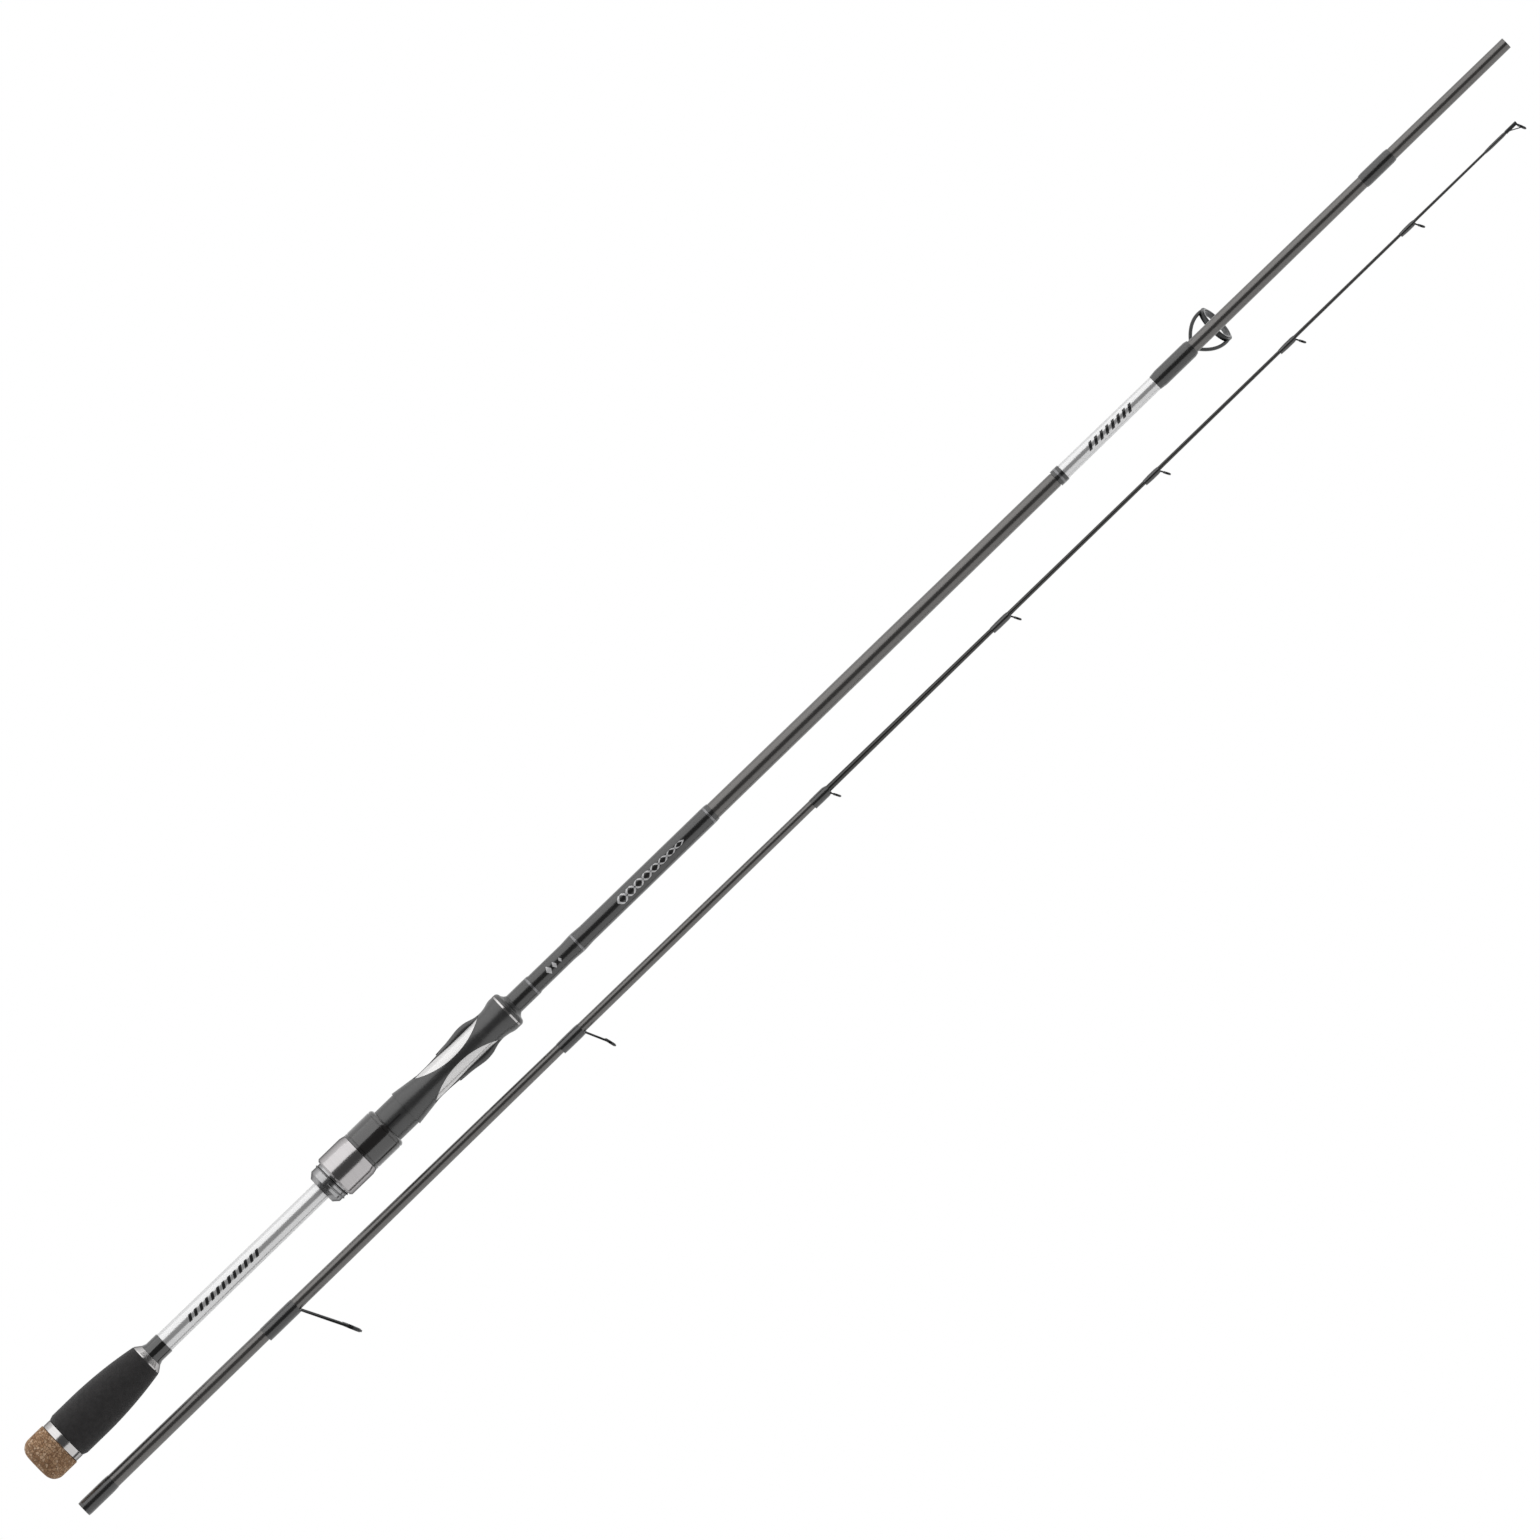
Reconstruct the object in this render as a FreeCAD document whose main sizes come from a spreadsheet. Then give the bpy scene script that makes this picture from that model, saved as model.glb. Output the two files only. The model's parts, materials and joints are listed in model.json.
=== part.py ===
import FreeCAD, Part
import math
import os
import re

import Sketcher
from FreeCAD import Placement, Rotation, Vector

# A two-piece spinning rod, its two sections lying side by side as when it is taken apart.
# Frame: +X runs from the butt towards the tip, +Z is up in use, and the origin is the centre
# of the butt cap's flat end. The butt section lies on the X axis, and its reel seat and its
# stripper guide face -Z. The tip section lies beside it, with its guides facing -Y.
# Every size is in millimetres. Stations are distances along a section from its own rear end.

GRIP = {
    "cap_radius": 12.75,
    "cap_corner": 6.5,
    "cap_front": 16.3,
    "blank_rear": 6.0,
    "rear_ring_radius": 12.2,
    "rear_ring_front": 21.3,
    "rear_ring_chamfer": 0.4,
    "foam_rear_radius": 12.2,
    "foam_radius": 13.0,
    "foam_shoulder": 23.6,
    "foam_straight_end": 37.0,
    "foam_front_radius": 9.3,
    "foam_curve": 228.0,
    "foam_front": 77.2,
    "front_ring_step": 77.8,
    "front_ring_radius": 9.1,
    "front_ring_front": 80.8,
    "trumpet_rear_radius": 6.9,
    "trumpet_neck": 83.2,
    "trumpet_radius": 5.95,
    "trumpet_front": 90.4,
    "sleeve_rear_radius": 5.5,
    "sleeve_front_radius": 5.2,
    "sleeve_front": 201.6,
}

SEAT = {
    "thread_sleeve_rear_radius": 8.0,
    "thread_sleeve_cone": 204.4,
    "thread_root_radius": 10.4,
    "thread_major_radius": 11.05,
    "thread_rear": 205.6,
    "thread_turns_length": 20.0,
    "thread_pitch": 2.5,
    "thread_ridge_width": 1.5,
    "thread_ridge_sunk": 0.2,
    "thread_sleeve_front": 229.0,
    "spigot_radius": 9.0,
    "spigot_rear": 203.0,
    "barrel_radius": 9.65,
    "seat_bore_radius": 6.5,
    "step_x": 261.1,
    "step_radius": 10.4,
    "waist_rear": 277.0,
    "waist_radius": 8.25,
    "waist_curve": 101.0,
    "rise_rear": 293.5,
    "rise_radius": 9.0,
    "rib_rear": 305.0,
    "rib_rear_radius": 10.7,
    "rib_curve": 22.0,
    "rib_front": 313.5,
    "rib_front_radius": 10.45,
    "neck_rear": 317.5,
    "neck_rear_radius": 9.2,
    "neck_curve": 17.2,
    "neck_front": 326.5,
    "neck_front_radius": 9.5,
    "flare_x": 329.6,
    "flare_radius": 10.25,
    "flare_curve": 10.6,
    "seat_front": 331.9,
    "trim_front": 333.0,
    "nose_shoulder": 333.5,
    "nose_curve": 2.4,
    "nose_middle": 335.4,
    "nose_middle_radius": 8.0,
    "nose_hollow": 4.0,
    "nose_front": 337.6,
    "nose_front_radius": 5.6,
    "core_rear": 269.0,
    "core_front": 326.0,
    "core_radius": 8.1,
    "window_floor": 1.6,
    "window_middle": 297.2,
    "window_spine_half": 2.0,
    "window_curve": 45.0,
    "window_reach": 13.5,
    "arbor_rear_front": 232.0,
    "arbor_front_rear": 238.0,
    "arbor_front_front": 266.0,
    "bed_height": 9.9,
    "bed_half_width": 7.0,
    "bed_rear": 249.0,
    "bed_root": 5.0,
    "bed_into_seat": 1.4,
    "key_rear": 230.0,
    "key_half_width": 3.2,
    "key_height": 9.8,
    "fixed_hood_rear": 291.0,
    "fixed_hood_full": 304.0,
    "fixed_hood_end": 324.0,
    "fixed_hood_mouth_half": 9.2,
    "fixed_hood_half": 10.2,
    "fixed_hood_end_half": 6.6,
    "fixed_hood_end_bottom": 8.6,
    "hood_bottom": 16.4,
    "hood_root": 2.0,
    "hood_corner": 4.5,
    "foot_half_width": 7.9,
    "foot_bottom": 14.6,
    "foot_depth": 12.0,
    "foot_corner": 1.2,
    "mouth_overcut": 0.4,
}

HOOD = {
    "nut_rear": 210.4,
    "nut_radius": 12.4,
    "nut_bevel": 1.0,
    "nut_straight_end": 226.2,
    "nut_front_radius": 11.7,
    "nut_front": 229.1,
    "nut_bore_radius": 11.12,
    "hood_rear": 229.25,
    "hood_front": 248.4,
    "hood_radius": 11.85,
    "hood_nose_corner": 2.0,
    "hood_collar_front": 230.5,
    "hood_lip_rear": 245.6,
    "hood_line_width": 0.5,
    "hood_line_depth": 0.3,
    "hood_wide_bore": 11.2,
    "hood_wide_end": 239.1,
    "hood_bore": 9.75,
    "hood_ramp_front": 235.0,
    "hood_ramp_half": 8.0,
    "hood_ramp_bottom": 12.2,
    "hood_half_width": 9.6,
    "hood_clearance": 0.1,
}

WRAPS = {
    "band_width": 1.4,
    "wrap_radius": 5.2,
    "wrap_bulge_radius": 5.6,
    "wrap_bulge_length": 6.0,
    "band_1": 349.8,
    "band_2": 381.6,
    "band_3": 474.8,
    "wrap_front": 478.4,
    "trim_wrap_front": 726.0,
    "trim_wrap_radius": 4.7,
    "mid_sleeve_front": 791.0,
    "mid_sleeve_rear_radius": 4.25,
    "mid_sleeve_front_radius": 4.1,
    "joint_wrap_rear": 937.8,
    "joint_wrap_front": 958.1,
    "joint_wrap_radius": 4.0,
    "socket_wrap_front": 20.8,
    "socket_wrap_shoulder": 17.3,
    "socket_wrap_radius": 4.3,
    "socket_wrap_corner": 1.8,
    "socket_wrap_gap": 0.05,
    "wrap_end_length": 2.0,
    "wrap_end_radius": 0.25,
    "wrap_edge": 0.15,
}

SECTIONS = {
    "butt_length": 1039.4,
    "tip_start": 2.0,
    "section_gap": 32.5,
    "socket_depth": 79.0,
    "socket_tube_front": 82.0,
    "socket_rear_radius": 3.46,
    "socket_front_radius": 3.23,
    "glue_gap": 0.02,
    "splice_rear": 490.0,
    "splice_radius": 1.5,
    "splice_front": 524.0,
    "tip_end": 1010.5,
}

# Outer radius of each section against its station, and the bore of each tube.
BUTT_OUTSIDE = [(6.0, 5.1), (205.0, 4.85), (478.0, 4.6), (600.0, 4.5), (720.0, 4.15),
                (720.9, 3.85), (792.0, 3.74), (845.0, 3.7), (1039.4, 3.2)]
TIP_OUTSIDE = [(0.0, 3.95), (50.0, 3.8), (200.0, 3.3), (357.0, 2.7), (524.0, 2.35)]
SOLID_OUTSIDE = [(524.0, 1.85), (662.0, 1.27), (810.0, 1.0), (942.0, 0.76), (1010.5, 0.6)]
BUTT_BORE = {"butt_bore_rear": 3.9, "butt_bore_front": 2.2}
TIP_BORE = {"tip_bore_rear": 2.9}

# Line guides: where the wrap lies, where the ring's centre is, its outside radius and its tilt
# towards the tip, the radius of its wrap and how far that leans towards the guide's foot.
GUIDE_COLUMNS = ["wrap_rear", "wrap_front", "ring_x", "ring_height", "frame_radius", "tilt",
                 "wrap_radius", "wrap_shift"]
GUIDES = {
    "stripper": [791.0, 817.4, 834.2, 33.0, 10.9, 15.0, 4.75, 0.35],
    "guide_1": [128.0, 149.6, 162.0, 27.8, 6.0, 24.0, 4.2, 0.45],
    "guide_2": [336.8, 351.4, 357.2, 15.5, 3.45, 14.0, 3.45, 0.4],
    "guide_3": [515.0, 526.4, 527.3, 5.4, 2.3, 28.0, 2.9, 0.3],
    "guide_4": [642.0, 653.8, 655.6, 4.7, 2.25, 28.0, 2.0, 0.3],
    "guide_5": [749.8, 760.0, 761.4, 4.5, 2.2, 28.0, 1.8, 0.3],
    "guide_6": [845.3, 856.2, 857.4, 4.3, 2.15, 28.0, 1.65, 0.3],
    "guide_7": [930.7, 940.6, 941.6, 4.15, 2.15, 28.0, 1.5, 0.3],
    "tip_top": [991.0, 1005.4, 1013.3, 3.35, 2.7, 22.0, 1.0, 0.0],
}
# Wall of the frame around the ring, thickness of the frame, width and thickness of the foot,
# diameter of the legs, radial thickness and length of the ring, and length of its straight land.
GUIDE_PARTS = {
    "stripper": [1.1, 2.2, 3.4, 0.9, 1.9, 1.7, 3.2, 1.2],
    "guide_1": [0.8, 1.1, 2.8, 0.8, 1.5, 1.1, 1.9, 0.7],
    "guide_2": [0.55, 0.9, 2.2, 0.6, 1.1, 0.75, 1.5, 0.6],
    "guide_3": [0.4, 0.8, 1.8, 0.5, 0.8, 0.5, 1.2, 0.5],
    "guide_4": [0.4, 0.8, 1.6, 0.5, 0.8, 0.5, 1.2, 0.5],
    "guide_5": [0.4, 0.8, 1.5, 0.5, 0.8, 0.5, 1.2, 0.5],
    "guide_6": [0.4, 0.8, 1.4, 0.5, 0.8, 0.5, 1.2, 0.5],
    "guide_7": [0.4, 0.8, 1.3, 0.45, 0.8, 0.5, 1.2, 0.5],
    "tip_top": [0.45, 0.8, 1.5, 0.5, 0.5, 0.6, 1.3, 0.5],
}
PART_COLUMNS = ["frame_wall", "frame_depth", "foot_width", "foot_thickness", "leg_diameter",
                "ring_wall", "ring_length", "ring_land"]
LEGS = {
    "leg_start_half": 1.2,
    "leg_foot_overlap": 0.7,
    "leg_meeting_angle": 15.0,
    "stripper_leg_bow": 2.9,
    "guide_1_leg_bow": 1.3,
    "guide_2_leg_bow": 0.7,
    "tip_tube_front": 1012.9,
    "tip_tube_radius": 1.0,
    "tip_brace_x": 1007.6,
    "tip_brace_half": 0.4,
    "tip_brace_drop": 0.75,
    "tip_top_hole_margin": 0.3,
    "foot_inset": 2.0,
    "tall_foot_reach": 1.0,
    "low_foot_reach": 0.4,
    "neck_overlap": 0.35,
    "brace_meeting_angle": -10.0,
}


def collect_sizes():
    """Every driving dimension by name."""
    sizes = {}
    for group in (GRIP, SEAT, HOOD, WRAPS, SECTIONS, BUTT_BORE, TIP_BORE, LEGS):
        sizes.update(group)
    for prefix, stations in (("butt", BUTT_OUTSIDE), ("tube", TIP_OUTSIDE), ("solid", SOLID_OUTSIDE)):
        for number, (station, radius) in enumerate(stations):
            sizes[f"{prefix}_station_{number}"] = station
            sizes[f"{prefix}_radius_{number}"] = radius
    for guide in GUIDES:
        for column, size in zip(GUIDE_COLUMNS + PART_COLUMNS, GUIDES[guide] + GUIDE_PARTS[guide]):
            sizes[f"{guide}_{column}"] = size
    return sizes


SIZES = collect_sizes()
SHEET = "Dimensions"
doc = FreeCAD.newDocument("SpinningRod")
sheet = doc.addObject("Spreadsheet::Sheet", SHEET)
nodes = []


def fill_sheet():
    for row, (name, size) in enumerate(SIZES.items(), start=1):
        sheet.set(f"A{row}", name)
        sheet.set(f"B{row}", str(size))
        sheet.setAlias(f"B{row}", name)
    doc.recompute()


def ref(text):
    """The expression with each size's name pointing at its cell."""
    return re.sub(r"[a-z][a-z_0-9]*",
                  lambda word: f"{SHEET}.{word.group(0)}" if word.group(0) in SIZES else word.group(0),
                  str(text))


def value(text):
    """The number that an expression of the sheet's names gives."""
    return float(sheet.evalExpression(str(text)))


def bind(feature, **sizes):
    """Ties properties to expressions. A double underscore stands for a dot."""
    for name, text in sizes.items():
        feature.setExpression(name.replace("__", "."), ref(text))


# ---- sketches and bodies ----

def helper_body(label):
    body = doc.addObject("PartDesign::Body", label)
    body.Label = label
    return body


def new_body(label):
    body = helper_body(label)
    nodes.append(body)
    return body


def new_sketch(body, role, offset="0", shift="0"):
    """A sketch on one of the body's own planes, moved along its normal and along its own Y."""
    plane = next(f for f in body.Origin.OriginFeatures if f.Role == role)
    sketch = body.newObject("Sketcher::SketchObject", body.Name + "_sketch")
    sketch.AttachmentSupport = [(plane, "")]
    sketch.MapMode = "FlatFace"
    if offset != "0":
        bind(sketch, AttachmentOffset__Base__z=offset)
    if shift != "0":
        bind(sketch, AttachmentOffset__Base__y=shift)
    return sketch


def arc_between(start, end, radius):
    """The short arc between two points, bulging to the left of start to end if radius is positive."""
    chord = end - start
    left = Vector(-chord.y, chord.x, 0).normalize()
    half = chord.Length / 2
    reach = math.sqrt(radius * radius - half * half)
    centre = (start + end) * 0.5 - left * math.copysign(reach, radius)
    first, last = (end, start) if radius > 0 else (start, end)
    angles = [math.atan2(point.y - centre.y, point.x - centre.x) for point in (first, last)]
    return Part.ArcOfCircle(Part.Circle(centre, Vector(0, 0, 1), abs(radius)), angles[0], angles[1])


def draw(sketch, outline):
    """Adds a closed outline. A corner is (x, y), or (x, y, radius) where an arc leaves it."""
    places = [Vector(value(corner[0]), value(corner[1]), 0) for corner in outline]
    first = sketch.GeometryCount
    for number, corner in enumerate(outline):
        start, end = places[number], places[(number + 1) % len(places)]
        if len(corner) == 3:
            sketch.addGeometry(arc_between(start, end, value(corner[2])), False)
        else:
            sketch.addGeometry(Part.LineSegment(start, end), False)
    ends = [(2, 1) if len(corner) == 3 and value(corner[2]) > 0 else (1, 2) for corner in outline]
    for number, corner in enumerate(outline):
        before = (number - 1) % len(outline)
        at, previous = first + number, first + before
        sketch.addConstraint(
            Sketcher.Constraint("Coincident", previous, ends[before][1], at, ends[number][0]))
        for kind, text, length in (("DistanceX", corner[0], places[number].x),
                                   ("DistanceY", corner[1], places[number].y)):
            index = sketch.addConstraint(Sketcher.Constraint(kind, -1, 1, at, ends[number][0], length))
            sketch.setExpression(f"Constraints[{index}]", ref(text))
        if len(corner) == 3:
            radius = abs(value(corner[2]))
            index = sketch.addConstraint(Sketcher.Constraint("Radius", at, radius))
            sketch.setExpression(f"Constraints[{index}]", ref(f"abs({corner[2]})"))


def add_feature(body, kind, sketch, **settings):
    feature = body.newObject("PartDesign::" + kind, body.Name + "_" + kind.lower())
    feature.Profile = sketch
    for name, setting in settings.items():
        setattr(feature, name, setting)
    return feature


def turn(body, outline, kind="Revolution", shift="0"):
    """Revolves an outline of (station, radius) corners about the section's axis."""
    sketch = new_sketch(body, "XZ_Plane", shift=shift)
    draw(sketch, outline)
    return add_feature(body, kind, sketch, ReferenceAxis=(sketch, ["H_Axis"]), Angle=360.0)


def pad(body, start, outline, length):
    """Pads an outline of (y, z) corners forwards from a station."""
    sketch = new_sketch(body, "YZ_Plane", offset=start)
    draw(sketch, outline)
    feature = add_feature(body, "Pad", sketch)
    bind(feature, Length=length)
    return feature


def pocket(body, start, outline, length):
    """Cuts an outline of (y, z) corners forwards from a station."""
    sketch = new_sketch(body, "YZ_Plane", offset=start)
    draw(sketch, outline)
    feature = add_feature(body, "Pocket", sketch, Reversed=True)
    bind(feature, Length=length)
    return feature


def rectangle(half_width, low, high):
    """Corners of a rectangle below the axis: low and high are depths."""
    return [(f"-({half_width})", f"-({low})"), (half_width, f"-({low})"),
            (half_width, f"-({high})"), (f"-({half_width})", f"-({high})")]


def trough(half_width, root, bottom, corner):
    """Corners of a U with rounded lower corners, from a depth of root to a depth of bottom."""
    return [(f"-({half_width})", f"-({root})"), (half_width, f"-({root})"),
            (half_width, f"-({bottom} - {corner})", f"{corner}"),
            (f"{half_width} - {corner}", f"-({bottom})"),
            (f"-({half_width} - {corner})", f"-({bottom})", f"{corner}"),
            (f"-({half_width})", f"-({bottom} - {corner})")]


def along(prefix, count, station):
    """The section's outside radius at a station, as an expression."""
    for number in range(count - 1):
        low, high = f"{prefix}_station_{number}", f"{prefix}_station_{number + 1}"
        if value(low) <= value(station) <= value(high):
            near, far = f"{prefix}_radius_{number}", f"{prefix}_radius_{number + 1}"
            return f"({near} + ({far} - {near}) * (({station}) - {low}) / ({high} - {low}))"
    raise ValueError(station)


def butt_bore(station):
    """Radius of a bore glued over the butt section at a station."""
    return along("butt", len(BUTT_OUTSIDE), station) + " + glue_gap"


def tip_bore(station):
    """Radius of a bore glued over the tip section at a station."""
    if value(station) <= value("splice_front"):
        return along("tube", len(TIP_OUTSIDE), station) + " + glue_gap"
    return along("solid", len(SOLID_OUTSIDE), station) + " + glue_gap"


def lay_beside(node):
    """Puts a piece of the tip section beside the butt section, guides to the side."""
    node.Placement = Placement(Vector(0, 0, 0), Rotation(Vector(1, 0, 0), -90))
    bind(node, Placement__Base__x="tip_start", Placement__Base__y="-section_gap")


def sleeve(label, rear, front, outline, bore=butt_bore):
    """A piece slid over a section: the outline gives its outside from rear to front."""
    body = new_body(label)
    turn(body, [(rear, bore(rear))] + outline + [(front, bore(front))])
    return body


# ---- butt section ----

def make_butt_blank():
    outside = [(f"butt_station_{n}", f"butt_radius_{n}") for n in range(len(BUTT_OUTSIDE))]
    body = new_body("butt_blank")
    turn(body, outside + [("butt_length", "butt_bore_front"), ("blank_rear", "butt_bore_rear")])


def make_grip():
    cap = new_body("cork_butt_cap")
    turn(cap, [("0", "0"), ("0", "cap_radius - cap_corner", "cap_corner"), ("cap_corner", "cap_radius"),
               ("cap_front", "cap_radius"), ("cap_front", butt_bore("cap_front")),
               ("blank_rear - glue_gap", "butt_radius_0 + glue_gap"), ("blank_rear - glue_gap", "0")])
    sleeve("rear_winding_ring", "cap_front", "rear_ring_front", [
        ("cap_front", "rear_ring_radius - rear_ring_chamfer"),
        ("cap_front + rear_ring_chamfer", "rear_ring_radius"),
        ("rear_ring_front - rear_ring_chamfer", "rear_ring_radius"),
        ("rear_ring_front", "rear_ring_radius - rear_ring_chamfer")])
    sleeve("rear_grip_foam", "rear_ring_front", "foam_front", [
        ("rear_ring_front", "foam_rear_radius"), ("foam_shoulder", "foam_radius"),
        ("foam_straight_end", "foam_radius", "foam_curve"), ("foam_front", "foam_front_radius")])
    sleeve("front_winding_ring", "foam_front", "front_ring_front", [
        ("foam_front", "front_ring_radius"), ("front_ring_step", "front_ring_radius"),
        ("front_ring_front", "trumpet_rear_radius")])
    sleeve("grip_trumpet", "front_ring_front", "trumpet_front", [
        ("front_ring_front", "trumpet_rear_radius"), ("trumpet_neck", "trumpet_radius"),
        ("trumpet_front", "trumpet_radius")])
    sleeve("handle_sleeve", "trumpet_front", "sleeve_front", [
        ("trumpet_front", "sleeve_rear_radius"), ("sleeve_front", "sleeve_front_radius")])


def make_threaded_sleeve():
    """A metal sleeve whose outside carries the right-hand thread that the lock nut runs on."""
    body = new_body("threaded_sleeve")
    turn(body, [("sleeve_front", "sleeve_front_radius + glue_gap"),
                ("sleeve_front", "thread_sleeve_rear_radius"),
                ("thread_sleeve_cone", "thread_root_radius"),
                ("thread_sleeve_front", "thread_root_radius"),
                ("thread_sleeve_front", "spigot_radius + glue_gap"),
                ("spigot_rear - glue_gap", "spigot_radius + glue_gap"),
                ("spigot_rear - glue_gap", "sleeve_front_radius + glue_gap")])
    ridge = new_sketch(body, "XZ_Plane")
    sunk = "(thread_root_radius - thread_ridge_sunk)"
    draw(ridge, [("thread_rear", sunk), ("thread_rear + thread_ridge_width / 2", "thread_major_radius"),
                 ("thread_rear + thread_ridge_width", sunk)])
    thread = add_feature(body, "AdditiveHelix", ridge, ReferenceAxis=(ridge, ["H_Axis"]),
                         Mode=0, LeftHanded=False)
    bind(thread, Pitch="thread_pitch", Height="thread_turns_length")


def make_seat_body():
    """The moulded seat: barrel, reel-foot bed, waisted fore part with two windows, fixed hood."""
    body = new_body("seat_body")
    turn(body, [("spigot_rear", "seat_bore_radius"), ("spigot_rear", "spigot_radius"),
                ("thread_sleeve_front", "spigot_radius"), ("thread_sleeve_front", "barrel_radius"),
                ("step_x", "barrel_radius"), ("step_x", "step_radius"),
                ("waist_rear", "waist_radius", "-waist_curve"), ("rise_rear", "rise_radius"),
                ("rib_rear", "rib_rear_radius", "rib_curve"), ("rib_front", "rib_front_radius"),
                ("neck_rear", "neck_rear_radius", "-neck_curve"),
                ("neck_front", "neck_front_radius", "flare_curve"),
                ("flare_x", "flare_radius"), ("seat_front", "flare_radius"),
                ("seat_front", "seat_bore_radius")])
    hood = new_sketch(body, "YZ_Plane", offset="fixed_hood_rear")
    draw(hood, trough("fixed_hood_mouth_half", "hood_root", "hood_bottom", "hood_corner"))
    full = new_sketch(body, "YZ_Plane", offset="fixed_hood_full")
    draw(full, trough("fixed_hood_half", "hood_root", "hood_bottom", "hood_corner"))
    end = new_sketch(body, "YZ_Plane", offset="fixed_hood_end")
    draw(end, trough("fixed_hood_end_half", "hood_root", "fixed_hood_end_bottom", "hood_corner"))
    add_feature(body, "AdditiveLoft", hood, Sections=[full, end], Ruled=True)
    pad(body, "bed_rear", rectangle("bed_half_width", "bed_root", "bed_height"),
        "fixed_hood_rear - bed_rear + bed_into_seat")
    pad(body, "key_rear", rectangle("key_half_width", "bed_root", "key_height"), "bed_rear - key_rear")
    turn(body, [("spigot_rear - 1", "0"), ("spigot_rear - 1", "seat_bore_radius"),
                ("core_rear", "seat_bore_radius"), ("core_rear", "core_radius + glue_gap"),
                ("core_front", "core_radius + glue_gap"), ("core_front", "seat_bore_radius"),
                ("seat_front + 1", "seat_bore_radius"), ("seat_front + 1", "0")], kind="Groove")
    pocket(body, "fixed_hood_rear - mouth_overcut",
           trough("foot_half_width", "bed_height", "foot_bottom", "foot_corner"),
           "foot_depth + mouth_overcut")
    windows = new_sketch(body, "XY_Plane", offset="window_floor")
    reach = "sqrt(window_curve ^ 2 - (window_curve + window_spine_half - window_reach) ^ 2)"
    for edge, curve in (("window_reach", "-window_curve"), ("-window_reach", "window_curve")):
        draw(windows, [(f"window_middle - {reach}", edge, curve), (f"window_middle + {reach}", edge)])
    add_feature(body, "Pocket", windows, Type=1, Reversed=True)


def make_seat_inside():
    sleeve("seat_core", "core_rear", "core_front",
           [("core_rear", "core_radius"), ("core_front", "core_radius")])
    for label, rear, front in (("rear_seat_arbor", "spigot_rear", "arbor_rear_front"),
                               ("front_seat_arbor", "arbor_front_rear", "arbor_front_front")):
        outside = "seat_bore_radius - glue_gap"
        sleeve(label, rear, front, [(rear, outside), (front, outside)])


def make_nose():
    sleeve("nose_trim_ring", "seat_front", "trim_front",
           [("seat_front", "flare_radius"), ("trim_front", "flare_radius")])
    sleeve("nose_cap", "trim_front", "nose_front",
           [("trim_front", "flare_radius"), ("nose_shoulder", "flare_radius", "nose_curve"),
            ("nose_middle", "nose_middle_radius", "-nose_hollow"), ("nose_front", "nose_front_radius")])


# ---- moving hood and lock nut ----

def hood_line(rear):
    """A narrow sunk line around the hood, as four points of its outline."""
    front = f"{rear} + hood_line_width"
    sunk = "hood_radius - hood_line_depth"
    return [(rear, "hood_radius"), (rear, sunk), (front, sunk), (front, "hood_radius")]


def make_moving_hood():
    body = new_body("moving_hood")
    turn(body, [("hood_rear", "hood_wide_bore"), ("hood_rear", "hood_radius")]
         + hood_line("hood_collar_front") + hood_line("hood_lip_rear")
         + [("hood_front - hood_nose_corner", "hood_radius", "hood_nose_corner"),
            ("hood_front", "hood_radius - hood_nose_corner"), ("hood_front", "hood_bore"),
            ("hood_wide_end", "hood_bore"), ("hood_wide_end", "hood_wide_bore")])
    ramp = new_sketch(body, "YZ_Plane", offset="hood_rear")
    draw(ramp, trough("hood_ramp_half", "hood_root", "hood_ramp_bottom", "hood_corner"))
    full = new_sketch(body, "YZ_Plane", offset="hood_ramp_front")
    draw(full, trough("hood_half_width", "hood_root", "hood_bottom", "hood_corner"))
    front = new_sketch(body, "YZ_Plane", offset="hood_front")
    draw(front, trough("hood_half_width", "hood_root", "hood_bottom", "hood_corner"))
    add_feature(body, "AdditiveLoft", ramp, Sections=[full, front], Ruled=True)
    turn(body, [("hood_rear - 1", "0"), ("hood_rear - 1", "hood_wide_bore"),
                ("hood_wide_end", "hood_wide_bore"), ("hood_wide_end", "hood_bore"),
                ("hood_front + 1", "hood_bore"), ("hood_front + 1", "0")], kind="Groove")
    pocket(body, "hood_front - foot_depth",
           trough("foot_half_width", "bed_height", "foot_bottom", "foot_corner"), "foot_depth + 1")
    pocket(body, "hood_front - foot_depth",
           rectangle("bed_half_width + hood_clearance", "bed_root", "bed_height + mouth_overcut"),
           "foot_depth + 1")


def make_lock_nut():
    body = new_body("lock_nut")
    turn(body, [("nut_rear", "nut_bore_radius"), ("nut_rear", "nut_radius - nut_bevel"),
                ("nut_rear + nut_bevel", "nut_radius"), ("nut_straight_end", "nut_radius"),
                ("nut_front", "nut_front_radius"), ("nut_front", "nut_bore_radius")])


# ---- thread wraps and sleeves of the butt section ----

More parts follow.
